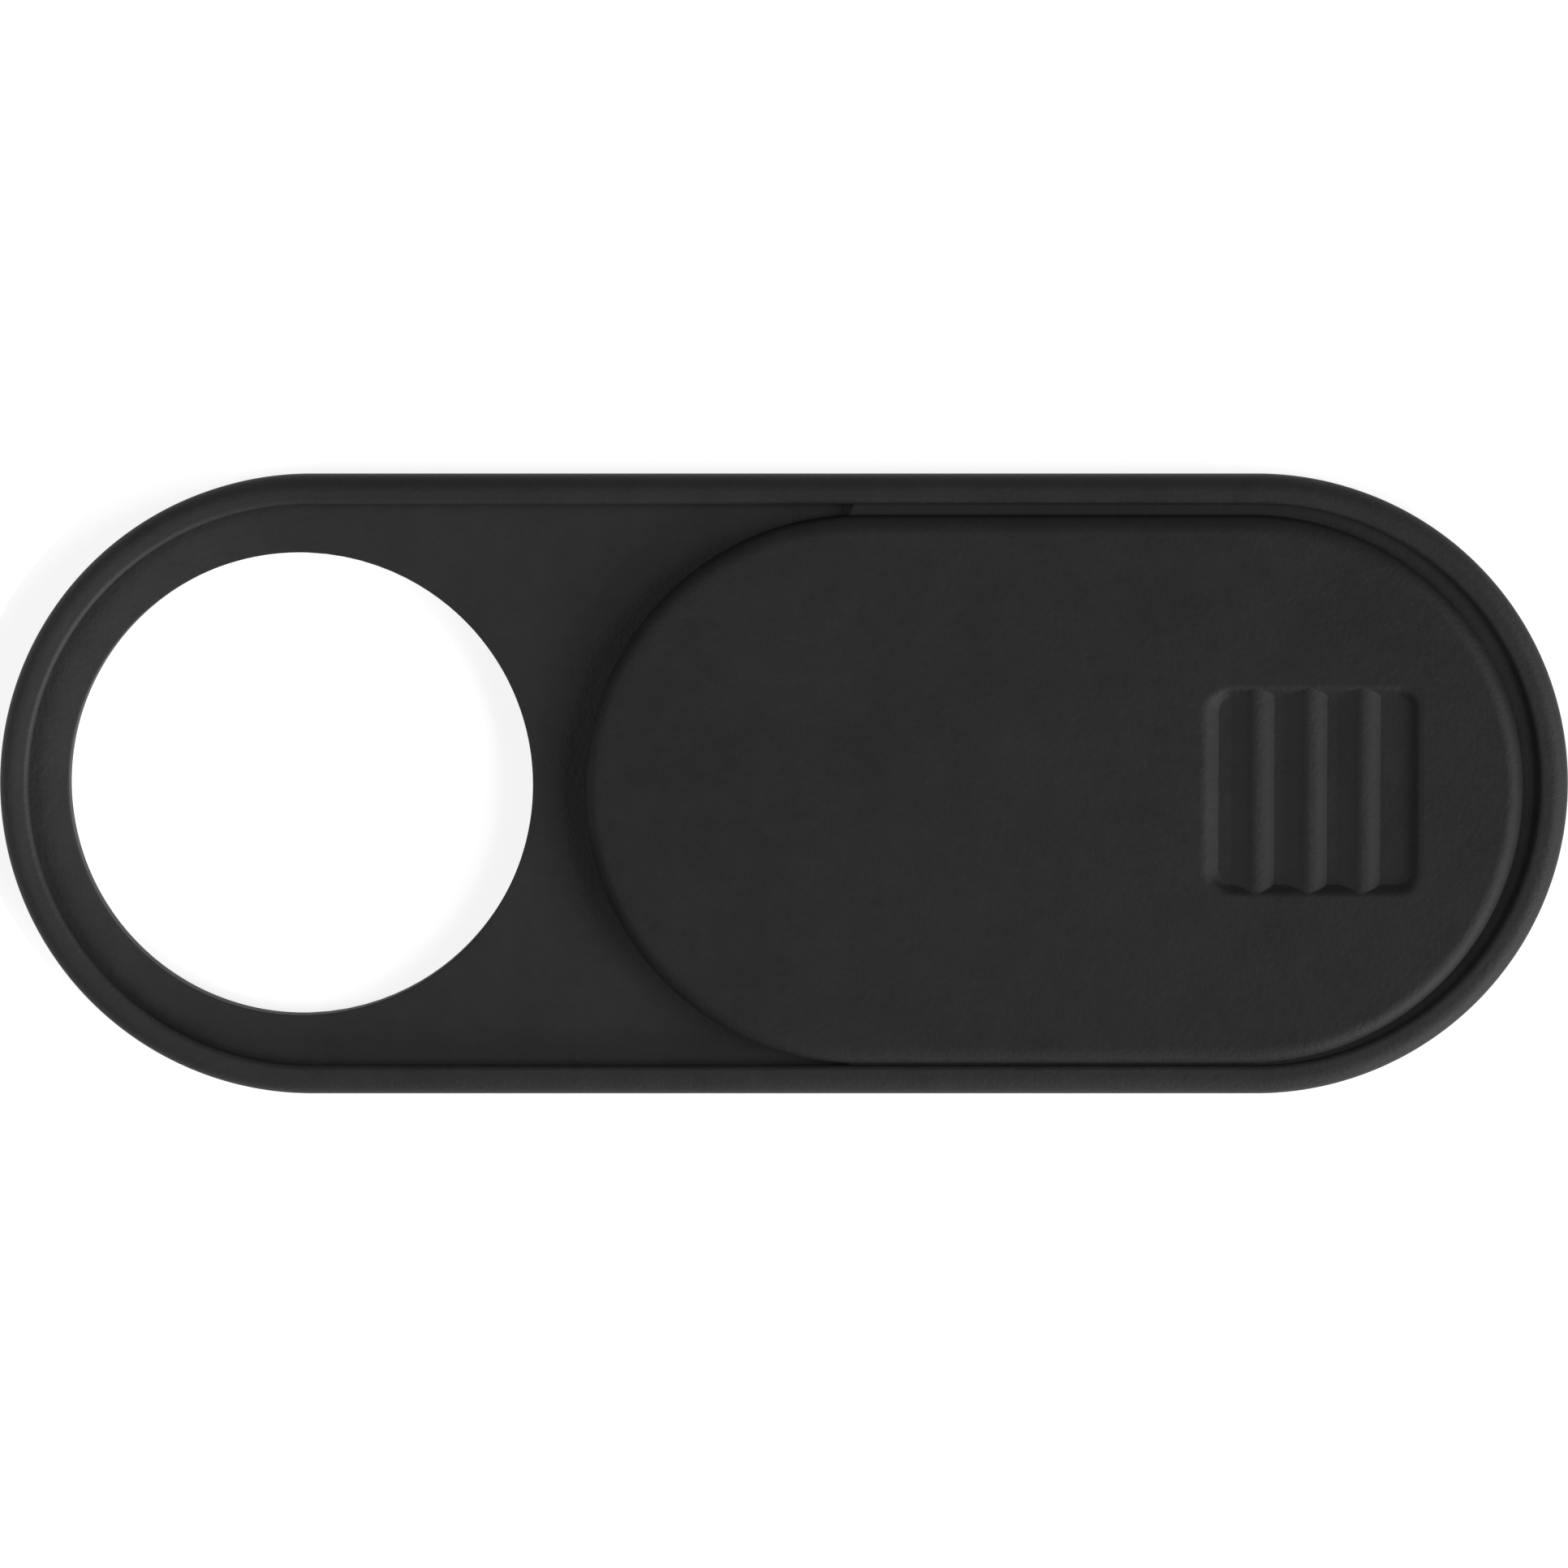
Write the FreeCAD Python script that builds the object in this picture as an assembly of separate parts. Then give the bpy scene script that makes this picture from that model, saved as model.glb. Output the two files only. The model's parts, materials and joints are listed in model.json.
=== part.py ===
import FreeCAD, Part
import os

# A sliding camera cover: a stadium-shaped frame with a lens hole, a shutter whose brim slides in a groove
# under the frame's rim, and a tape pad. Sizes are in millimetres. +X runs along the cover from the lens hole
# to the open shutter's end, +Y across it and +Z out of its face. The origin is the middle of the tape's
# sticking face, which lies on the screen's bezel.

# Frame
cover_length = 35.0
cover_width = 13.86
frame_height = 1.10  # from the frame's back to the crest of its rim
floor_thickness = 0.60
rim_width = 0.66  # from the outline to the mouth of the pocket
rim_inner_radius = 0.12
rim_crest_flat = 0.12  # flat left between the rim's two rounded edges
largest_lip_round = 0.8  # the inner round takes at most this share of the lip's thickness
back_edge_radius = 0.12

# Lens hole in the frame's floor
lens_side_ledge = 1.09  # floor left between the hole and the pocket's long walls
lens_end_ledge = 0.87  # floor left between the hole and the pocket's end wall

# Groove under the rim, and the shutter's brim that runs in it
lip_overlap = 0.20  # how far the rim's lip reaches over the brim along each side
brim_thickness = 0.25
brim_end_width = 0.445  # how far the brim stands out at the shutter's far end
brim_overrun = 0.20  # length of the brim past the straight sides, towards the lens hole
brim_corner_radius = 0.15
running_clearance = 0.05
side_play = 0.10  # the shutter is loose in its groove and lies this far off the middle, towards -Y
groove_end_depth = 0.14  # how far the groove reaches under the rim in the middle of its two round ends
stop_clearance = 0.07

# Shutter
shutter_length = 20.90
shutter_side_gap = 0.145  # between the shutter and the mouth of the pocket
shutter_rise = 0.25  # the shutter's face stands this far above the crest of the rim
shutter_edge_radius = 0.42

# Thumb grip in the shutter's face
grip_length = 4.78  # at the shutter's face
grip_width = 4.60
grip_depth = 0.20
grip_wall_run = 0.20  # how far three of the grip's sloping walls reach in from the face to the floor
grip_long_run = 0.30  # the same for the flatter wall on the lens hole's side
grip_end_margin = 2.32  # from the shutter's end to the grip
grip_floor_corner_radius = 0.30
grip_edge_radius = 0.22
rib_pitch = 1.18
rib_lean = 0.20  # the ribs' crests lie this far off even spacing, towards the lens hole
rib_front_run = 0.49  # from a rib's foot on the lens hole's side to its crest
rib_back_run = 0.54  # from its crest to its other foot
rib_hollow = 0.036  # how far the front is hollowed below a straight slope
rib_drop = 0.02  # the ribs' crests lie this far below the shutter's face
rib_bury = 0.25  # length of a rib that runs into the grip's walls

# Tape pad on the frame's back
tape_thickness = 0.15
tape_inset = 0.60  # from the frame's outline to the tape's outline
tape_hole_margin = 0.25  # the tape's hole is this much larger all round than the lens hole

# Heights above the sticking face
back_z = tape_thickness
crest_z = back_z + frame_height
floor_z = back_z + floor_thickness
shutter_bottom_z = floor_z + running_clearance
shutter_top_z = crest_z + shutter_rise
brim_top_z = shutter_bottom_z + brim_thickness
groove_top_z = brim_top_z + running_clearance
grip_floor_z = shutter_top_z - grip_depth

# Frame sizes that follow
pocket_length = cover_length - 2 * rim_width
pocket_width = cover_width - 2 * rim_width
lip_thickness = crest_z - groove_top_z
mouth_radius = min(rim_inner_radius, largest_lip_round * lip_thickness)
rim_outer_radius = rim_width - rim_inner_radius - rim_crest_flat
groove_length = pocket_length + 2 * groove_end_depth
groove_width = pocket_width + 2 * (lip_overlap + side_play + running_clearance)
lens_radius = pocket_width / 2 - lens_side_ledge
lens_x = lens_end_ledge + lens_radius - pocket_length / 2

# Shutter sizes that follow, with the shutter open against the stop at the groove's far end
shutter_width = pocket_width - 2 * shutter_side_gap
brim_length = shutter_length + 2 * brim_end_width
brim_width = pocket_width + 2 * lip_overlap
shutter_x = (groove_length - brim_length) / 2 - stop_clearance
shutter_lens_end_x = shutter_x - shutter_length / 2
brim_start_x = shutter_lens_end_x + shutter_width / 2 - brim_overrun
shutter_travel = shutter_lens_end_x + pocket_length / 2 - stop_clearance

# Grip sizes that follow
grip_x = shutter_x + shutter_length / 2 - grip_end_margin - grip_length / 2
grip_floor_x = grip_x + (grip_long_run - grip_wall_run) / 2
grip_floor_length = grip_length - grip_wall_run - grip_long_run
grip_floor_width = grip_width - 2 * grip_wall_run
rib_height = grip_depth - rib_drop
rib_count = int(grip_floor_length / rib_pitch)

same_place = 1e-6  # two heights or lengths closer than this are the same


def rounded_plate(length, width, corner_radius, x, bottom_z, top_z):
    """A flat rectangular plate centred on x, rounded at its four upright corners."""
    low_corner = FreeCAD.Vector(x - length / 2, -width / 2, bottom_z)
    plate = Part.makeBox(length, width, top_z - bottom_z, low_corner)
    upright_edges = [edge for edge in plate.Edges if edge.BoundBox.ZLength > same_place]
    return plate.makeFillet(corner_radius, upright_edges)


def top_outline(plate, z):
    """The outline of a plate's flat top at height z."""
    top = next(face for face in plate.Faces if abs(face.BoundBox.ZMin - z) < same_place)
    return top.OuterWire


def stadium_plate(length, width, x, bottom_z, top_z):
    """A flat plate with straight long sides and half-round ends."""
    half_straight = (length - width) / 2
    radius = width / 2
    right_top = FreeCAD.Vector(x + half_straight, radius, bottom_z)
    right_end = FreeCAD.Vector(x + half_straight + radius, 0, bottom_z)
    right_bottom = FreeCAD.Vector(x + half_straight, -radius, bottom_z)
    left_bottom = FreeCAD.Vector(x - half_straight, -radius, bottom_z)
    left_end = FreeCAD.Vector(x - half_straight - radius, 0, bottom_z)
    left_top = FreeCAD.Vector(x - half_straight, radius, bottom_z)
    outline = Part.Wire([
        Part.LineSegment(left_top, right_top).toShape(),
        Part.Arc(right_top, right_end, right_bottom).toShape(),
        Part.LineSegment(right_bottom, left_bottom).toShape(),
        Part.Arc(left_bottom, left_end, left_top).toShape(),
    ])
    return Part.Face(outline).extrude(FreeCAD.Vector(0, 0, top_z - bottom_z))


def edges_at(solid, z, x, length, width):
    """The solid's level edges at height z that lie within a length and a width centred on x."""
    found = []
    for edge in solid.Edges:
        box = edge.BoundBox
        level = abs(box.ZMin - z) < same_place and abs(box.ZMax - z) < same_place
        within_x = max(box.XMax - x, x - box.XMin) < length / 2 + same_place
        within_y = max(box.YMax, -box.YMin) < width / 2 + same_place
        if level and within_x and within_y:
            found.append(edge)
    return found


def lens_cut(radius):
    """A round cutter on the lens hole's axis, through the tape and the frame's floor."""
    return Part.makeCylinder(radius, crest_z, FreeCAD.Vector(lens_x, 0, 0))


def make_frame():
    """The frame: a rounded stadium body with a pocket, a groove under its rim and the lens hole."""
    body = stadium_plate(cover_length, cover_width, 0, back_z, crest_z)
    body = body.makeFillet(rim_outer_radius, edges_at(body, crest_z, 0, cover_length, cover_width))
    body = body.makeFillet(back_edge_radius, edges_at(body, back_z, 0, cover_length, cover_width))

    pocket = stadium_plate(pocket_length, pocket_width, 0, floor_z, crest_z)
    groove = stadium_plate(groove_length, groove_width, 0, floor_z, groove_top_z)
    body = body.cut(pocket.fuse(groove).removeSplitter())
    body = body.makeFillet(mouth_radius, edges_at(body, crest_z, 0, pocket_length, pocket_width))
    return body.cut(lens_cut(lens_radius))


def make_rib(x):
    """One grip rib across the cover: a hollowed front up to its crest, then a round back to the floor."""
    half_length = grip_width / 2 + rib_bury
    front_foot = FreeCAD.Vector(x - rib_lean - rib_front_run, -half_length, grip_floor_z)
    crest = FreeCAD.Vector(x - rib_lean, -half_length, grip_floor_z + rib_height)
    back_foot = FreeCAD.Vector(x - rib_lean + rib_back_run, -half_length, grip_floor_z)

    slope = crest - front_foot
    below_slope = FreeCAD.Vector(slope.z, 0, -slope.x).normalize()
    front = (front_foot + crest) * 0.5 + below_slope * rib_hollow
    back_radius = (rib_back_run**2 + rib_height**2) / (2 * rib_height)
    back_centre = crest - FreeCAD.Vector(0, 0, back_radius)
    half_way = ((crest + back_foot) * 0.5 - back_centre).normalize()
    back = back_centre + half_way * back_radius

    section = Part.Wire([
        Part.Arc(front_foot, front, crest).toShape(),
        Part.Arc(crest, back, back_foot).toShape(),
        Part.LineSegment(back_foot, front_foot).toShape(),
    ])
    return Part.Face(section).extrude(FreeCAD.Vector(0, 2 * half_length, 0))


def grip_cut():
    """The cutter for the thumb grip: a rounded rectangle at the face that slopes in to a smaller floor."""
    corner = grip_floor_corner_radius
    floor = rounded_plate(
        grip_floor_length, grip_floor_width, corner, grip_floor_x, shutter_bottom_z, grip_floor_z
    )
    mouth = rounded_plate(
        grip_length, grip_width, corner + grip_wall_run, grip_x, shutter_bottom_z, shutter_top_z
    )
    outlines = [top_outline(floor, grip_floor_z), top_outline(mouth, shutter_top_z)]
    return Part.makeLoft(outlines, True, True)


def make_brim():
    """The shutter's brim: a thin stadium, cut off square near the lens end of the straight sides."""
    brim = stadium_plate(brim_length, brim_width, shutter_x, shutter_bottom_z, brim_top_z)
    corner = FreeCAD.Vector(brim_start_x - brim_length, -brim_width, shutter_bottom_z)
    brim = brim.cut(Part.makeBox(brim_length, 2 * brim_width, brim_thickness, corner))
    start_edges = []
    for edge in brim.Edges:
        box = edge.BoundBox
        if box.ZLength > same_place and box.XMax - brim_start_x < same_place:
            start_edges.append(edge)
    return brim.makeFillet(brim_corner_radius, start_edges)


def make_shutter():
    """The shutter: a stadium plate with a rounded face edge, a thin brim and a ribbed grip."""
    plate = stadium_plate(shutter_length, shutter_width, shutter_x, shutter_bottom_z, shutter_top_z)
    face_edges = edges_at(plate, shutter_top_z, shutter_x, shutter_length, shutter_width)
    plate = plate.makeFillet(shutter_edge_radius, face_edges)
    plate = plate.fuse(make_brim()).removeSplitter()

    plate = plate.cut(grip_cut())
    mouth_edges = edges_at(plate, shutter_top_z, grip_x, grip_length, grip_width)
    plate = plate.makeFillet(grip_edge_radius, mouth_edges)
    first_rib_x = grip_floor_x - rib_pitch * (rib_count - 1) / 2
    ribs = [make_rib(first_rib_x + number * rib_pitch) for number in range(rib_count)]
    plate = plate.fuse(ribs).removeSplitter()
    plate.translate(FreeCAD.Vector(0, -side_play, 0))
    return plate


def make_adhesive_pad():
    """The tape pad: a thin stadium, set in from the frame's outline, with a hole wider than the lens hole."""
    pad = stadium_plate(cover_length - 2 * tape_inset, cover_width - 2 * tape_inset, 0, 0, back_z)
    return pad.cut(lens_cut(lens_radius + tape_hole_margin))


def main():
    os.makedirs("parts", exist_ok=True)
    pieces = {"frame": make_frame(), "shutter": make_shutter(), "adhesive_pad": make_adhesive_pad()}
    for node, shape in pieces.items():
        shape.exportStep(f"parts/{node}.step")
        print(node, "solids", len(shape.Solids), "valid", shape.isValid(), "volume", round(shape.Volume, 3))
    print("lens hole radius", round(lens_radius, 3), "at x", round(lens_x, 3))
    print("shutter at x", round(shutter_x, 3), "travel", round(shutter_travel, 3))


main()
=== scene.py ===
# %% [markdown]
# # A sliding camera cover, dressed for its portrait
# The part is a thin black cover for a laptop's camera: a frame with a round lens hole, a shutter that
# slides in it, and a pad of tape on the back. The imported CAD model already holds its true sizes, its bodies
# and the sliding joint. It is loaded first as a fixed frame. Everything below is a finer skin for those
# bodies, made in the same place and at the same size, so nothing has to be fitted afterwards.

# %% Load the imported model
import json
import math

import bmesh
import bpy
import numpy as np
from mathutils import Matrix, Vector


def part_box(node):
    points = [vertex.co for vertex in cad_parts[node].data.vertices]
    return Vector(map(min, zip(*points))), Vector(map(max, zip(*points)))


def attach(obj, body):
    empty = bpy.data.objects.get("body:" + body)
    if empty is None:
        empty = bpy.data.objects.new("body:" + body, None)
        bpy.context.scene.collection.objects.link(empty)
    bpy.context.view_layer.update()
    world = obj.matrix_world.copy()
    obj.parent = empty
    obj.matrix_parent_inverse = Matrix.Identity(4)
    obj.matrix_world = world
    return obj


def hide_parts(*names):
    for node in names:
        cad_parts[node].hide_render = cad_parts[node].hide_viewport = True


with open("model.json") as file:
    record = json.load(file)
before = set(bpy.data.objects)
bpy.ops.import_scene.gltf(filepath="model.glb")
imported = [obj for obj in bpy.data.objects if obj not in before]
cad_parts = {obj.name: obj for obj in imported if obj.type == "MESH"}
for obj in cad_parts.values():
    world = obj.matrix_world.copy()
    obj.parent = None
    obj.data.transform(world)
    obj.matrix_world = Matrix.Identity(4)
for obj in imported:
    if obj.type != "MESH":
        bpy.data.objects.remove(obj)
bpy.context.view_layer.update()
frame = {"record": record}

# %% [markdown]
# ## Sizes
# Blender works in metres, but a part this small reads better in millimetres, so every size below is in
# millimetres and only the last step, the mesh itself, turns it into metres. Places come from the CAD boxes
# and from the lens hole's mount. The few sizes that a box can't tell, such as rounds and clearances, are
# named here.

# %% Sizes in millimetres
MM = 0.001


def corners(node):
    """A node's lowest and highest corner at rest, in millimetres."""
    low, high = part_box(node)
    return np.array(low) / MM, np.array(high) / MM


frame_low, frame_high = corners("frame")
shutter_low, shutter_high = corners("shutter")
tape_low, tape_high = corners("adhesive_pad")
lens_mount = next(mount for mount in frame["record"]["mounts"] if mount["name"] == "lens_hole")
lens_x = lens_mount["pos_m"][0] / MM
lens_radius = lens_mount["dims"]["r_mm"]

outline_reach = frame_high[1]  # half the frame's width
frame_spine = frame_high[0] - outline_reach  # half the length of the frame's straight sides
frame_back, frame_crest = frame_low[2], frame_high[2]
pocket_floor = frame_back + lens_mount["dims"]["length_mm"]
shutter_bottom, shutter_face = shutter_low[2], shutter_high[2]
brim_reach = (shutter_high[1] - shutter_low[1]) / 2  # half the width over the shutter's brim
shutter_y = (shutter_high[1] + shutter_low[1]) / 2

rim_width = 0.66
rim_inner_round = 0.12
rim_outer_round = 0.42
back_round = 0.12
lens_edge_break = 0.02  # the moulding's own small round at the lens hole's edge
running_clearance = 0.05
groove_end_depth = 0.14  # how far the groove reaches under the rim in the middle of its ends
brim_thickness = 0.25
brim_end_width = 0.445  # how far the brim stands out at the shutter's far end
brim_overrun = 0.20  # length of the brim past the straight sides, towards the lens hole
brim_corner = 0.15
shutter_side_gap = 0.145
shutter_edge_round = 0.42

pocket_reach = outline_reach - rim_width
groove_reach = brim_reach + abs(shutter_y) + running_clearance
groove_spine = frame_spine + pocket_reach + groove_end_depth - groove_reach
brim_top = shutter_bottom + brim_thickness
groove_top = brim_top + running_clearance
shutter_reach = pocket_reach - shutter_side_gap
shutter_end = shutter_high[0] - brim_end_width
shutter_x = (shutter_low[0] + shutter_end) / 2
shutter_spine = (shutter_end - shutter_low[0]) / 2 - shutter_reach
brim_start = shutter_low[0] + shutter_reach - brim_overrun
print(f"pocket {2 * pocket_reach:.2f} mm wide, lens hole {2 * lens_radius:.2f} mm across at x {lens_x:.2f}")
print(f"shutter {2 * (shutter_spine + shutter_reach):.2f} mm long at x {shutter_x:.2f}, y {shutter_y:.2f}")

# %% [markdown]
# ## From arrays to a mesh
# Each piece is a grid of points worked out as whole numpy arrays. A grid becomes faces by joining every
# point to its neighbour in the next row and column, and a grid that closes on itself repeats its first row
# or column. Rows that meet in one place are merged, so the skin is one closed surface. Shading is smooth,
# with a crease only where two faces meet at a steep angle, as where the lens hole meets the back.

# %% Grid and mesh helpers
merge_distance = 0.0002
crease_angle = math.radians(35)


def grid_faces(index, wrap_rows=False, wrap_columns=False):
    """Quads between neighbouring rows and columns of an index grid, which may close round on itself."""
    if wrap_rows:
        index = np.vstack([index, index[:1]])
    if wrap_columns:
        index = np.hstack([index, index[:, :1]])
    quads = np.stack([index[:-1, :-1], index[:-1, 1:], index[1:, 1:], index[1:, :-1]], axis=-1)
    return quads.reshape(-1, 4)


def add_piece(name, points, faces):
    """A smooth-shaded object from points in millimetres, with doubles merged and faces outwards."""
    mesh = bpy.data.meshes.new(name)
    mesh.from_pydata(np.asarray(points).reshape(-1, 3) * MM, [], [list(face) for face in faces])
    shell = bmesh.new()
    shell.from_mesh(mesh)
    bmesh.ops.remove_doubles(shell, verts=shell.verts, dist=merge_distance * MM)
    bmesh.ops.recalc_face_normals(shell, faces=shell.faces)
    open_edges = sum(not edge.is_manifold for edge in shell.edges)
    volume = shell.calc_volume() / MM**3
    shell.to_mesh(mesh)
    shell.free()
    mesh.shade_smooth()
    mesh.set_sharp_from_angle(angle=crease_angle)
    piece = bpy.data.objects.new(name, mesh)
    bpy.context.scene.collection.objects.link(piece)
    print(f"{name}: {len(mesh.polygons)} faces, {open_edges} open edges, {volume:.1f} mm3")
    return piece


# %% [markdown]
# ## The stadium path
# The frame, the shutter and the tape all have the same outline, a stadium. It could be drawn as two lines
# and two arcs, but there is a shorter way to say it: a stadium is every point at one distance, the reach,
# from a straight spine. A station of the path is then a foot point on the spine and a direction outwards,
# and every offset of the outline is the same path with another reach.

# %% Stations round a stadium, and a profile carried along them
def stadium_stations(spine, reach, along):
    """Foot point on the spine and outward direction at each length along a stadium's outline.

    The outline is run anticlockwise from the left end of its lower straight side. On a straight side the
    foot point moves and the direction stands still. On a round end the foot point stands still and the
    direction turns in step with the length.
    """
    arc = math.pi * reach
    knots = np.cumsum([0, 2 * spine, arc, 2 * spine, arc])
    along = np.mod(along, knots[-1])
    foot = np.interp(along, knots, [-spine, spine, spine, -spine, -spine])
    turn = np.interp(along, knots, np.radians([-90, -90, 90, 90, 270]))
    return foot, np.cos(turn), np.sin(turn)


def carry(stations, reach, height, centre=(0.0, 0.0)):
    """A profile carried round a stadium: a point lies its reach out from the foot point, at its height."""
    foot, out_x, out_y = stations
    reach, height = np.broadcast_arrays(reach, height)
    x = centre[0] + foot + reach * out_x
    y = centre[1] + reach * out_y
    return np.stack([x, y, height + np.zeros_like(x)], axis=-1)


# %% [markdown]
# ## The frame
# The frame is one moulding. Cut across, it is a profile: the flat floor, a groove under the rim, the rim's
# rounded bead, the outer wall and the flat back. Carrying that profile round the stadium gives the whole
# rim at once. The groove is a stadium as well, but a shorter and wider one, so its depth changes round the
# ends. The floor and the back run in to the lens hole, which isn't in the middle of the stadium, so their
# inner points lie on the hole's circle, each on the line from the hole's centre to its own station.

# %% Frame surface
end_stations = 180
side_stations = 40
inner_rows, outer_rows, under_rows = 15, 21, 8  # rows on the rim's two rounds and on the back's
lens_break_rows = 4
support = 0.05  # an extra row this far from a round keeps the flat beside it flat in the shading


def frame_lengths():
    """Lengths along the outline, closer together on the round ends than on the straight sides."""
    straight, arc = 2 * frame_spine, math.pi * outline_reach
    side = np.linspace(0, straight, side_stations, endpoint=False)
    end = np.linspace(0, arc, end_stations, endpoint=False)
    half = np.concatenate([side, straight + end])
    return np.concatenate([half, straight + arc + half])


def groove_wall(stations):
    """How far out from each foot point the groove's wall lies.

    Past the end of the groove's own spine its wall is an arc round that end, and the distance follows from
    the triangle of the foot point, the arc's centre and the point on the arc.
    """
    foot, out_x, out_y = stations
    past = np.maximum(np.abs(foot) - groove_spine, 0)
    return np.sqrt(groove_reach**2 - (past * out_y) ** 2) - past * np.abs(out_x)


def lens_ring(rim_points, radius, height):
    """Points on a circle round the lens axis, each on the line from the axis to its own rim point."""
    reach_out = rim_points[..., :2] - [lens_x, 0]
    reach_out = reach_out / np.linalg.norm(reach_out, axis=-1, keepdims=True)
    ring = [lens_x, 0] + radius * reach_out
    return np.concatenate([ring, np.full(ring.shape[:-1] + (1,), height)], axis=-1)


def frame_surface():
    """The frame's profile carried round the stadium, closed through the lens hole."""
    stations = stadium_stations(frame_spine, outline_reach, frame_lengths())
    inner = np.radians(np.linspace(0, 90, inner_rows))
    outer = np.radians(np.linspace(0, 90, outer_rows))
    under = np.radians(np.linspace(0, 90, under_rows))
    bead_reach = np.concatenate([
        [pocket_reach],
        pocket_reach + rim_inner_round * (1 - np.cos(inner)),
        outline_reach - rim_outer_round * (1 - np.sin(outer)),
        outline_reach - back_round * (1 - np.cos(under)),
        [outline_reach - back_round - support],
    ])
    bead_height = np.concatenate([
        [groove_top],
        frame_crest - rim_inner_round * (1 - np.sin(inner)),
        frame_crest - rim_outer_round * (1 - np.cos(outer)),
        frame_back + back_round * (1 - np.sin(under)),
        [frame_back],
    ])
    groove_rows = carry(stations, groove_wall(stations), np.array([[pocket_floor], [groove_top]]))
    rim = np.concatenate([groove_rows, carry(stations, bead_reach[:, None], bead_height[:, None])])

    edge = np.radians(np.linspace(0, 90, lens_break_rows))
    break_radius = lens_radius + lens_edge_break * (1 - np.cos(edge))
    break_height = pocket_floor - lens_edge_break * (1 - np.sin(edge))
    inner_edge = [lens_ring(rim[0], radius, z) for radius, z in zip(break_radius, break_height)]
    hole = [lens_ring(rim[0], lens_radius, frame_back)] + inner_edge
    floor_support = [lens_ring(rim[0], lens_radius + lens_edge_break + support, pocket_floor)]
    rows = np.concatenate([floor_support, rim, hole])
    index = np.arange(rows.shape[0] * rows.shape[1]).reshape(rows.shape[:2])
    return rows, grid_faces(index, wrap_rows=True, wrap_columns=True)


frame_skin = add_piece("frame_skin", *frame_surface())

# %% [markdown]
# ## The thumb grip
# The grip is a shallow dish pressed into the shutter's face, with sloping walls and three ribs across its
# floor. It could be cut with booleans, but a dish is a height over the plane, so one formula gives it: the
# depth at a point depends on how far the point lies inside the dish's outline, and the ribs take depth away
# again. The wall on the lens hole's side is flatter than the others, so there the distance is squeezed
# before the formula is asked. A rib is the overlap of two shapes, a hollowed slope on the lens hole's side
# and a round back on the other.

# %% Height of the thumb grip
grip_length, grip_width, grip_depth = 4.78, 4.60, 0.20
grip_wall_run, grip_long_run = 0.20, 0.30
grip_end_margin = 2.32
grip_floor_corner = 0.30
grip_edge_round = 0.22
grip_foot_round = 0.03  # the moulding's own small round where a wall meets the floor
rib_pitch, rib_lean, rib_drop = 1.18, 0.20, 0.02
rib_front_run, rib_back_run, rib_hollow = 0.49, 0.47, 0.036
rib_crest_blend = 0.03  # where a rib's two sides come this close in depth, the crest is rounded off
rib_foot_blend = 0.01  # the same where a rib meets a wall or the floor

grip_floor_half = (grip_length - grip_wall_run - grip_long_run) / 2
grip_x = shutter_end - grip_end_margin - grip_wall_run - grip_floor_half
rib_height = grip_depth - rib_drop
rib_back_radius = (rib_back_run**2 + rib_height**2) / (2 * rib_height)
rib_crests = rib_pitch * np.array([-1.0, 0.0, 1.0]) - rib_lean


def inside_distance(x, y):
    """How far a point lies inside the grip's rounded rectangle, measured square to its outline."""
    corner = grip_floor_corner + grip_wall_run
    past_floor = np.minimum(x + grip_floor_half, 0)
    x = x + past_floor * (grip_wall_run / grip_long_run - 1)
    past_x = np.abs(x) - (grip_floor_half + grip_wall_run - corner)
    past_y = np.abs(y) - (grip_width / 2 - corner)
    round_part = np.hypot(np.maximum(past_x, 0), np.maximum(past_y, 0))
    flat_part = np.minimum(np.maximum(past_x, past_y), 0)
    return corner - round_part - flat_part


def wall_depth(inside):
    """Depth below the face by distance inside: round shoulder, straight slope, round foot, flat floor.

    Each round is the arc that touches the two straight runs it joins, so it starts its radius times the
    tangent of half the slope before their corner.
    """
    slope = math.atan2(grip_depth, grip_wall_run)
    shoulder = grip_edge_round * math.tan(slope / 2)
    foot = grip_foot_round * math.tan(slope / 2)
    on_shoulder = np.clip(inside + shoulder, 0, grip_edge_round * math.sin(slope))
    before_floor = np.clip(grip_wall_run + foot - inside, 0, grip_foot_round * math.sin(slope))
    shoulder_depth = grip_edge_round - np.sqrt(grip_edge_round**2 - on_shoulder**2)
    foot_rise = grip_foot_round - np.sqrt(grip_foot_round**2 - before_floor**2)
    slope_start = grip_edge_round * math.sin(slope) - shoulder
    slope_end = grip_wall_run + foot - grip_foot_round * math.sin(slope)
    slope_depth = (np.clip(inside, slope_start, slope_end) - slope_start) * math.tan(slope)
    full_foot_rise = grip_foot_round * (1 - math.cos(slope))
    return shoulder_depth + slope_depth + full_foot_rise - foot_rise


def rib_depth(x):
    """Depth below the face of the nearest rib: the deeper of its hollowed front and its round back."""
    from_crests = x[..., None] - rib_crests
    nearest = np.argmin(np.abs(from_crests), axis=-1)
    from_crest = np.take_along_axis(from_crests, nearest[..., None], axis=-1)[..., 0]
    climb = 1 + from_crest / rib_front_run
    on_front = np.clip(climb, 0, 1)
    front = rib_height * (1 - climb) + 4 * rib_hollow * on_front * (1 - on_front)
    on_back = np.clip(from_crest, -rib_pitch / 2, rib_pitch / 2)
    back = rib_back_radius - np.sqrt(rib_back_radius**2 - on_back**2)
    blend = np.maximum(rib_crest_blend - np.abs(front - back), 0) ** 2 / (4 * rib_crest_blend)
    return rib_drop + np.maximum(front, back) + blend


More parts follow.
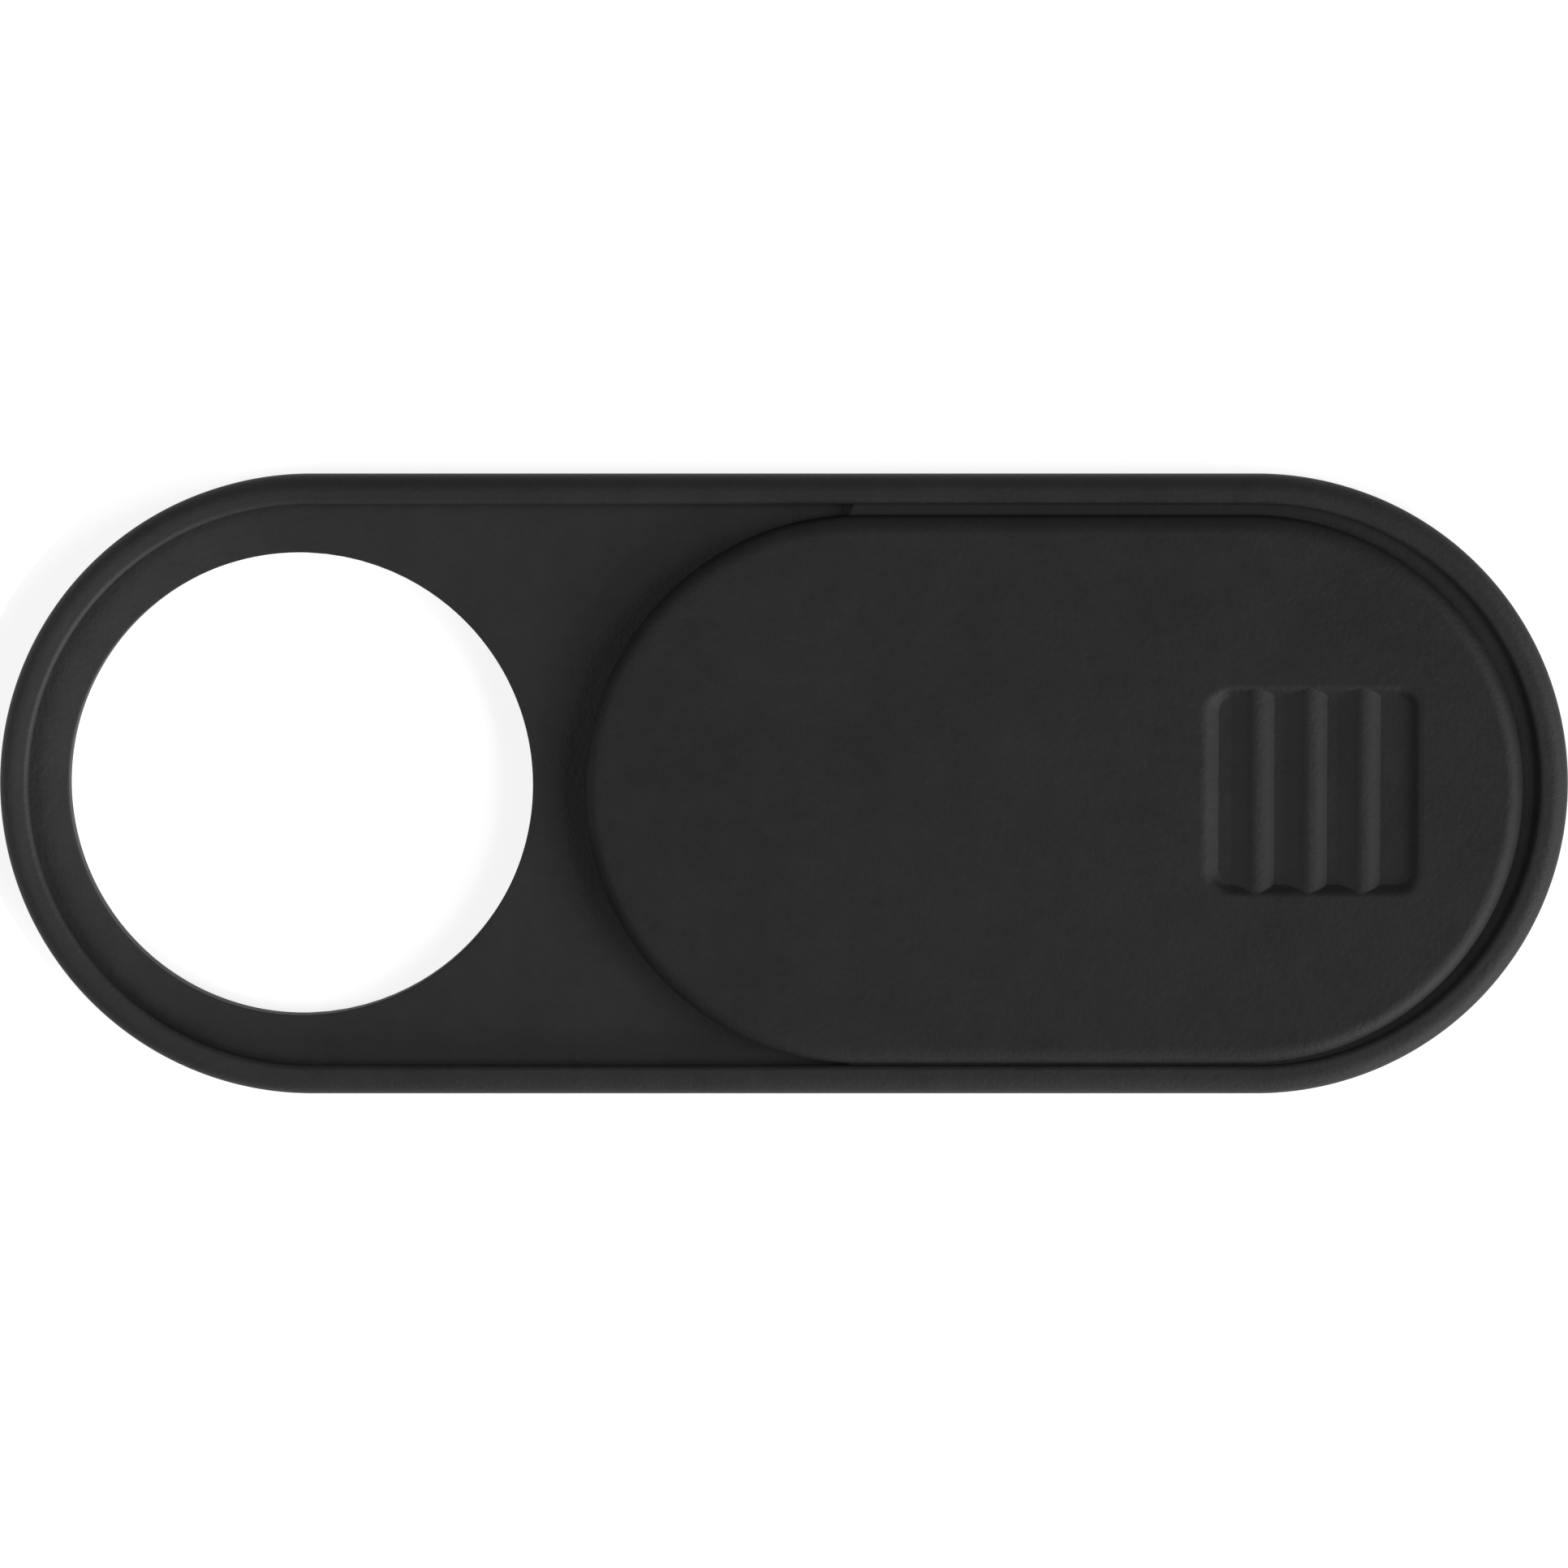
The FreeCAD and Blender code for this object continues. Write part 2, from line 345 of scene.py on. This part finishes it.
def grip_face(x, y):
    """Height of the face round the grip: the shallower of dish and ribs, blended where they meet."""
    dish, ribs = np.broadcast_arrays(wall_depth(inside_distance(x, y)), rib_depth(x))
    blend = np.maximum(rib_foot_blend - np.abs(dish - ribs), 0) ** 2 / (4 * rib_foot_blend)
    return shutter_face - np.minimum(dish, ribs) + blend


print(f"grip {grip_length:.2f} x {grip_width:.2f} mm at x {grip_x:.2f}, ribs {rib_height:.2f} mm high")

# %% [markdown]
# ## The shutter
# The rest of the shutter is again a profile round a stadium: a big soft round at the edge of its face, a
# short upright side, and a thin brim that runs in the frame's groove and keeps the shutter from falling
# out. The brim runs along the straight sides and round the far end, and the end over the lens hole has
# none. The grip's square patch of grid lies inside it. The two are joined without a seam, because the path
# takes exactly as many stations as the patch has points round its border, and each border point is joined
# to its own station across the flat face.

# %% Shutter surface
line_raster = 0.004  # grid lines are snapped to this raster, so that lines that nearly coincide become one
grip_skirt = 0.22  # flat face round the grip that belongs to its patch
wall_overlap = 0.06  # how far the close lines over a wall run on past its foot
long_wall_lines, wall_lines, flat_lines = 44, 36, 61
rib_lines, rib_overlap = 46, 0.04
brim_edge_break = 0.03
brim_break_rows = 5
underside_rim = 0.6  # width of the ring between the brim's lower edge and the one flat face inside it
face_steps = 8
edge_rows = 31


def grip_lines(low_run, high_run, half, crossings):
    """Grid lines across the grip: close over its walls and over each crossing, wider on the flats."""
    low_wall = np.linspace(-low_run - grip_skirt, wall_overlap, long_wall_lines) - half
    high_wall = half - np.linspace(-high_run - grip_skirt, wall_overlap, wall_lines)
    flat = np.linspace(-half, half, flat_lines)
    lines = np.concatenate([low_wall, high_wall, flat, *crossings])
    return np.unique(np.round(lines / line_raster)) * line_raster


def brim_edge(stations):
    """How far out the brim's edge lies at each station, and how much of the brim is there.

    At the far end the brim's arc has its own centre, a little past the shutter's. Towards the lens hole the
    brim stops with a rounded corner, and past it the edge is the shutter's own side.
    """
    foot, out_x, out_y = stations
    ahead = shutter_high[0] - brim_reach - shutter_x - shutter_spine
    edge = ahead * np.maximum(out_x, 0) + np.sqrt(brim_reach**2 - (ahead * out_y) ** 2)
    along_x = shutter_x + foot + shutter_reach * out_x
    before_corner = 1 - np.clip((along_x - brim_start) / brim_corner, 0, 1)
    has_brim = np.sqrt(1 - before_corner**2)
    return shutter_reach + has_brim * (edge - shutter_reach), has_brim


def shutter_surface():
    """The grip's patch, the flat face round it, and the edge, brim and underside round the stadium."""
    across_rib = np.linspace(-rib_front_run - rib_overlap, rib_back_run + rib_overlap, rib_lines)
    y_half = grip_width / 2 - grip_wall_run
    crossings = [crest + across_rib for crest in rib_crests]
    x_lines = grip_lines(grip_long_run, grip_wall_run, grip_floor_half, crossings)
    y_lines = grip_lines(grip_wall_run, grip_wall_run, y_half, [])
    x, y = np.meshgrid(x_lines, y_lines)
    patch = np.stack([grip_x + x, shutter_y + y, grip_face(x, y)], axis=-1)
    patch_index = np.arange(x.size).reshape(x.shape)
    border = np.concatenate([
        patch_index[0, :-1], patch_index[:-1, -1], patch_index[-1, :0:-1], patch_index[:0:-1, 0]
    ])

    # Each corner of the patch faces the middle of a quarter of an end, with even steps between
    across, up = len(x_lines) - 1, len(y_lines) - 1
    side, quarter = 2 * shutter_spine, math.pi / 2 * shutter_reach
    border_corners = np.cumsum([0, across, up, across, up])
    outline_corners = np.cumsum([-quarter / 2, side + quarter, quarter, side + quarter, quarter])
    count = len(border)
    along = np.interp(np.arange(count), border_corners, outline_corners)
    stations = stadium_stations(shutter_spine, shutter_reach, along)

    # The profile: the flat's support row, the edge round, the side's foot, the brim and the underside
    turn = np.radians(np.linspace(0, 90, edge_rows))
    small_turn = np.radians(np.linspace(0, 90, brim_break_rows))
    edge_reach = shutter_reach - shutter_edge_round * (1 - np.sin(turn))
    edge_height = shutter_face - shutter_edge_round * (1 - np.cos(turn))
    plate_reach = np.concatenate([[edge_reach[0] - support], edge_reach, [shutter_reach]])
    brim_inset = brim_edge_break * (1 - np.sin(small_turn))
    brim_reach_here, has_brim = brim_edge(stations)
    reach = np.concatenate([
        np.repeat(plate_reach[:, None], count, axis=1),
        brim_reach_here - has_brim * brim_inset[:, None],
        [brim_reach_here, brim_reach_here - underside_rim],
    ])
    height = np.concatenate([
        [shutter_face], edge_height, [brim_top],
        brim_top - brim_edge_break * (1 - np.cos(small_turn)),
        [shutter_bottom, shutter_bottom],
    ])
    rim = carry(stations, reach, height[:, None], (shutter_x, shutter_y))

    # The flat face between the patch and the rim, in even steps from each border point to its station
    step = np.linspace(0, 1, face_steps + 1)[1:-1, None, None]
    start = patch.reshape(-1, 3)[border]
    rim = np.concatenate([start + step * (rim[0] - start), rim])

    rim_index = patch.size // 3 + np.arange(rim.shape[0] * count).reshape(rim.shape[:2])
    faces = [grid_faces(patch_index), grid_faces(np.vstack([border, rim_index]), wrap_columns=True)]
    points = np.concatenate([patch.reshape(-1, 3), rim.reshape(-1, 3)])
    return points, [*faces[0], *faces[1], rim_index[-1]]


shutter_skin = add_piece("shutter_skin", *shutter_surface())

# %% [markdown]
# ## The tape pad
# The cover is held to the screen by a die-cut pad of double-sided tape. A die leaves an upright edge with a
# very small round where the blade pressed the foam down. The pad is the same kind of surface as the frame:
# a profile round a stadium, closed through a hole that is a little wider than the lens hole.

# %% Tape surface
tape_edge_round = 0.04
tape_hole_margin = 0.25
tape_stations, tape_edge_rows = 420, 6


def tape_surface():
    """A slab's profile, round at its lower edges, carried round the stadium and closed through its hole."""
    reach_out = tape_high[1]
    spine = tape_high[0] - reach_out
    along = np.linspace(0, 4 * spine + 2 * math.pi * reach_out, tape_stations, endpoint=False)
    stations = stadium_stations(spine, reach_out, along)
    turn = np.radians(np.linspace(0, 90, tape_edge_rows))
    inset = np.concatenate([[0], tape_edge_round * (1 - np.cos(turn))])
    height = np.concatenate([[tape_high[2]], tape_low[2] + tape_edge_round * (1 - np.sin(turn))])
    outside = carry(stations, reach_out - inset[:, None], height[:, None])
    ring_radius = lens_radius + tape_hole_margin + inset[::-1]
    hole = [lens_ring(outside[0], radius, z) for radius, z in zip(ring_radius, height[::-1])]
    rows = np.concatenate([outside, hole])
    index = np.arange(rows.shape[0] * rows.shape[1]).reshape(rows.shape[:2])
    return rows, grid_faces(index, wrap_rows=True, wrap_columns=True)


tape_skin = add_piece("tape_skin", *tape_surface())

# %% [markdown]
# ## Colours and nodes
# Colours are written as the hex values that a screen shows and turned into the linear values that light is
# added up in. One function adds any node: its settings are given by name, and each input is either a plain
# value or the output of an earlier node. The Mix node has a set of sockets for each type of data under the
# same names, so its factor and colours are called by number: 0, 6 and 7 in, and 2 out.

# %% Colour and node helpers
def linear(hex_colour):
    """A hex sRGB colour as linear red, green, blue and an alpha of one."""
    coded = np.array([int(hex_colour[place:place + 2], 16) for place in (1, 3, 5)]) / 255
    light = np.where(coded <= 0.04045, coded / 12.92, ((coded + 0.055) / 1.055) ** 2.4)
    return (*light.tolist(), 1.0)


def add_node(tree, kind, inputs=None, **settings):
    """Adds a node, gives it its settings, and sets or links its inputs."""
    made = tree.nodes.new(kind)
    for name, value in settings.items():
        setattr(made, name, value)
    for name, value in (inputs or {}).items():
        if isinstance(value, bpy.types.NodeSocket):
            tree.links.new(value, made.inputs[name])
        else:
            made.inputs[name].default_value = value
    return made


def new_material(name):
    """An empty node material and its tree."""
    material = bpy.data.materials.new(name)
    material.use_nodes = True
    material.node_tree.nodes.clear()
    return material, material.node_tree


# %% [markdown]
# ## Spark-eroded ABS
# The frame and the shutter are moulded in black ABS. The steel of such a mould is finished by spark
# erosion, which leaves tiny round craters, and the plastic copies them. They are too small to see one by
# one, and what they give the eye is a fine grain and a soft matt sheen in place of a sharp gloss. Neither
# the erosion nor the pigment is quite even, so the black is mottled by a shade at every scale from the
# craters up to a few millimetres, and the sheen changes with it.

# %% ABS material
grain_mm = 0.11  # real craters are about 0.03 mm across, drawn coarser here so that they show
grain_depth_mm = 0.018
mottle_mm = 3.0
abs_ior = 1.53
matt_specular = 0.13
sheen_spread = 0.03


def moulded_abs(name, dark, light, roughness):
    """Black ABS with a spark-eroded grain: mottled colour and sheen, and a fine bump.

    The craters catch most of the mirror light among themselves, so the specular level is far below that of
    a smooth piece of the same plastic.
    """
    material, tree = new_material(name)
    place = add_node(tree, "ShaderNodeTexCoord").outputs["Object"]
    grain = add_node(tree, "ShaderNodeTexNoise", {
        "Vector": place, "Scale": 1 / (grain_mm * MM), "Detail": 3.0, "Roughness": 0.6,
    })
    mottle = add_node(tree, "ShaderNodeTexNoise", {
        "Vector": place, "Scale": 1 / (mottle_mm * MM), "Detail": 8.0, "Roughness": 0.9,
    })
    shade = add_node(tree, "ShaderNodeMix", {
        0: mottle.outputs["Fac"], 6: linear(dark), 7: linear(light),
    }, data_type="RGBA")
    sheen = add_node(tree, "ShaderNodeMapRange", {
        "Value": mottle.outputs["Fac"], "From Min": 0.25, "From Max": 0.75,
        "To Min": roughness - sheen_spread, "To Max": roughness + sheen_spread,
    })
    craters = add_node(tree, "ShaderNodeBump", {
        "Height": grain.outputs["Fac"], "Strength": 1.0, "Distance": grain_depth_mm * MM,
    })
    surface = add_node(tree, "ShaderNodeBsdfPrincipled", {
        "Base Color": shade.outputs[2], "Roughness": sheen.outputs["Result"],
        "Normal": craters.outputs["Normal"], "IOR": abs_ior, "Specular IOR Level": matt_specular,
    })
    add_node(tree, "ShaderNodeOutputMaterial", {"Surface": surface.outputs["BSDF"]})
    return material


# The frame's black is painted a little lighter than the shutter's, a lighter copy of the same plastic:
# painted light that brightens the frame's floor where the rim shades it.
frame_abs = moulded_abs("frame_black_abs", "#1A1A1A", "#313131", 0.58)
shutter_abs = moulded_abs("shutter_black_abs", "#141414", "#2C2C2C", 0.58)
print("finishes:", frame_abs.name, shutter_abs.name)

# %% [markdown]
# ## Foam tape
# The tape is a thin black foam, greyed by a film of acrylic adhesive. The film is tacky and wet-looking
# where it lies smooth, and duller where the foam's cells show through, so its gloss is blotchy.

# %% Tape material
cell_mm = 0.25
cell_depth_mm = 0.01
blotch_mm = 2.0
acrylic_ior = 1.47


def foam_tape(name):
    """Dark foam tape: a cell pattern under an adhesive film with a blotchy gloss."""
    material, tree = new_material(name)
    place = add_node(tree, "ShaderNodeTexCoord").outputs["Object"]
    cells = add_node(tree, "ShaderNodeTexVoronoi", {"Vector": place, "Scale": 1 / (cell_mm * MM)})
    blotch = add_node(tree, "ShaderNodeTexNoise", {
        "Vector": place, "Scale": 1 / (blotch_mm * MM), "Detail": 5.0,
    })
    shade = add_node(tree, "ShaderNodeMix", {
        0: cells.outputs["Distance"], 6: linear("#343434"), 7: linear("#424241"),
    }, data_type="RGBA")
    gloss = add_node(tree, "ShaderNodeMapRange", {
        "Value": blotch.outputs["Fac"], "From Min": 0.35, "From Max": 0.65, "To Min": 0.28, "To Max": 0.55,
    })
    skin = add_node(tree, "ShaderNodeBump", {
        "Height": cells.outputs["Distance"], "Strength": 0.35, "Distance": cell_depth_mm * MM,
    })
    surface = add_node(tree, "ShaderNodeBsdfPrincipled", {
        "Base Color": shade.outputs[2], "Roughness": gloss.outputs["Result"],
        "Normal": skin.outputs["Normal"], "IOR": acrylic_ior,
    })
    add_node(tree, "ShaderNodeOutputMaterial", {"Surface": surface.outputs["BSDF"]})
    return material


tape_foam = foam_tape("black_foam_tape")
print("finish:", tape_foam.name)

# %% [markdown]
# ## Riding on the bodies
# Each skin stands for one CAD node, takes its own finish, and rides on the node's body.
# The shutter's skin then slides with the joint, and the tape stays with the frame.

# %% Ride, replace and dress
for piece, node, body, slot, material in (
    (frame_skin, "frame", "frame", "frame_plastic", frame_abs),
    (shutter_skin, "shutter", "shutter", "shutter_plastic", shutter_abs),
    (tape_skin, "adhesive_pad", "frame", "adhesive_tape", tape_foam),
):
    piece.data.materials.append(material)
    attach(piece, body)
    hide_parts(node)
    print(f"{piece.name} rides on {body} for {node}")

# %% [markdown]
# ## The floor
# The cover lies on a plain white floor. Part of its brightness is the light that falls on it, so it keeps
# the cover's soft shadow, and the rest is added only where the camera or a reflection sees it, which brings
# the open floor up to white without putting more light on the cover.

# %% Floor
floor_half = 1500.0
floor_drop = 0.01  # the floor lies this far under the tape, so that the two faces don't coincide


def white_floor(name, paint, added):
    """White paint, with some plain light added where the camera or a reflection sees it."""
    material, tree = new_material(name)
    rays = add_node(tree, "ShaderNodeLightPath").outputs
    direct = add_node(tree, "ShaderNodeMath", {
        0: rays["Is Camera Ray"], 1: rays["Is Glossy Ray"],
    }, operation="MAXIMUM")
    seen = add_node(tree, "ShaderNodeMath", {
        0: direct.outputs[0], 1: rays["Is Transmission Ray"],
    }, operation="MAXIMUM")
    strength = add_node(tree, "ShaderNodeMath", {0: seen.outputs[0], 1: added}, operation="MULTIPLY")
    glow = add_node(tree, "ShaderNodeEmission", {
        "Color": linear("#FFFFFF"), "Strength": strength.outputs[0],
    })
    matt = add_node(tree, "ShaderNodeBsdfDiffuse", {"Color": linear(paint)})
    both = add_node(tree, "ShaderNodeAddShader", {0: glow.outputs[0], 1: matt.outputs[0]})
    add_node(tree, "ShaderNodeOutputMaterial", {"Surface": both.outputs[0]})
    return material


corner_signs = np.array([[-1, -1], [1, -1], [1, 1], [-1, 1]])
floor_mesh = bpy.data.meshes.new("floor")
floor_points = np.column_stack([floor_half * corner_signs, np.full(len(corner_signs), -floor_drop)])
floor_mesh.from_pydata(floor_points * MM, [], [list(range(len(corner_signs)))])
floor_mesh.materials.append(white_floor("white_painted_floor", "#B8B8B8", 0.70))
floor = bpy.data.objects.new("floor", floor_mesh)
bpy.context.scene.collection.objects.link(floor)
print(f"floor {2 * floor_half * MM:.1f} m wide")

# %% [markdown]
# ## Light
# The photograph's light is soft and comes mostly from the lower right of the picture: the shutter throws a
# soft shadow to its left, and the edges that face right and down are the bright ones. Three softboxes give
# that: a low one at the lower right that grazes the face, one at the right, and a weaker one at the left
# that keeps the shadows open. The end with the lens hole is brighter than the rest, so a spot with a soft
# edge is added there.

# %% Lamps and world
world_light = 0.05
lamp_distance = 260.0
softbox_size = 160.0
spot_aim = (-18.2, 3.0, 1.0)  # just past the frame's end at the lens hole
spot_softness = 3.0  # radius of the spot's bulb, which softens its shadows
spot_pool = 8.0  # how far from its middle the spot's light fades to nothing

studio = bpy.data.worlds.new("studio")
studio.use_nodes = True
studio.node_tree.nodes.clear()
grey = add_node(studio.node_tree, "ShaderNodeBackground", {
    "Color": linear("#FFFFFF"), "Strength": world_light,
})
add_node(studio.node_tree, "ShaderNodeOutputWorld", {"Surface": grey.outputs[0]})
bpy.context.scene.world = studio


def hang_lamp(name, kind, turn, rise, aim, power):
    """A lamp aimed at a place, at a bearing from +X (turn) and a height angle (rise), both in degrees."""
    lamp = bpy.data.lights.new(name, kind)
    lamp.energy = power
    turn, rise = math.radians(turn), math.radians(rise)
    towards = np.array([math.cos(rise) * math.cos(turn), math.cos(rise) * math.sin(turn), math.sin(rise)])
    holder = bpy.data.objects.new(name, lamp)
    holder.location = MM * (np.array(aim) + lamp_distance * towards)
    holder.rotation_euler = (math.pi / 2 - rise, 0, turn + math.pi / 2)
    bpy.context.scene.collection.objects.link(holder)
    return lamp


for name, turn, rise, power in (
    ("key_softbox", -45, 12, 0.86),
    ("right_softbox", 0, 33, 0.51),
    ("left_softbox", 180, 50, 0.35),
):
    hang_lamp(name, "AREA", turn, rise, (0, 0, 0), power).size = softbox_size * MM

lens_end_spot = hang_lamp("lens_end_spot", "SPOT", -30, 45, spot_aim, 2.0)
lens_end_spot.spot_size = 2 * math.atan(spot_pool / lamp_distance)
lens_end_spot.spot_blend = 1.0
lens_end_spot.shadow_soft_size = spot_softness * MM
print("lamps:", sorted(lamp.name for lamp in bpy.data.lights))

# %% [markdown]
# ## Camera
# The picture is square and the cover fills its width. The camera stands almost straight above the face,
# with a long lens, and leans a little so that the gap along the shutter's upper side shows wider than the
# lower one.

# %% Camera
picture_px = 1932
cover_px = 1929  # the cover's length in the picture
camera_distance = 150.0
camera_lean = 4.0  # degrees from upright, towards +Y
sensor_width = 36.0
near_limit = 10.0  # nothing closer to the lens than this is drawn

view_width = 2 * frame_high[0] * picture_px / cover_px
lean = math.radians(camera_lean)
camera_data = bpy.data.cameras.new("camera")
camera_data.sensor_width = sensor_width
camera_data.lens = sensor_width * camera_distance / view_width
camera_data.clip_start = near_limit * MM
camera = bpy.data.objects.new("camera", camera_data)
camera_height = frame_crest / 2 + camera_distance * math.cos(lean)
camera.location = MM * np.array([0, camera_distance * math.sin(lean), camera_height])
camera.rotation_euler = (-lean, 0, 0)
bpy.context.scene.collection.objects.link(camera)
bpy.context.scene.camera = camera
bpy.context.scene.view_settings.view_transform = "Standard"
print(f"lens {camera_data.lens:.1f} mm")
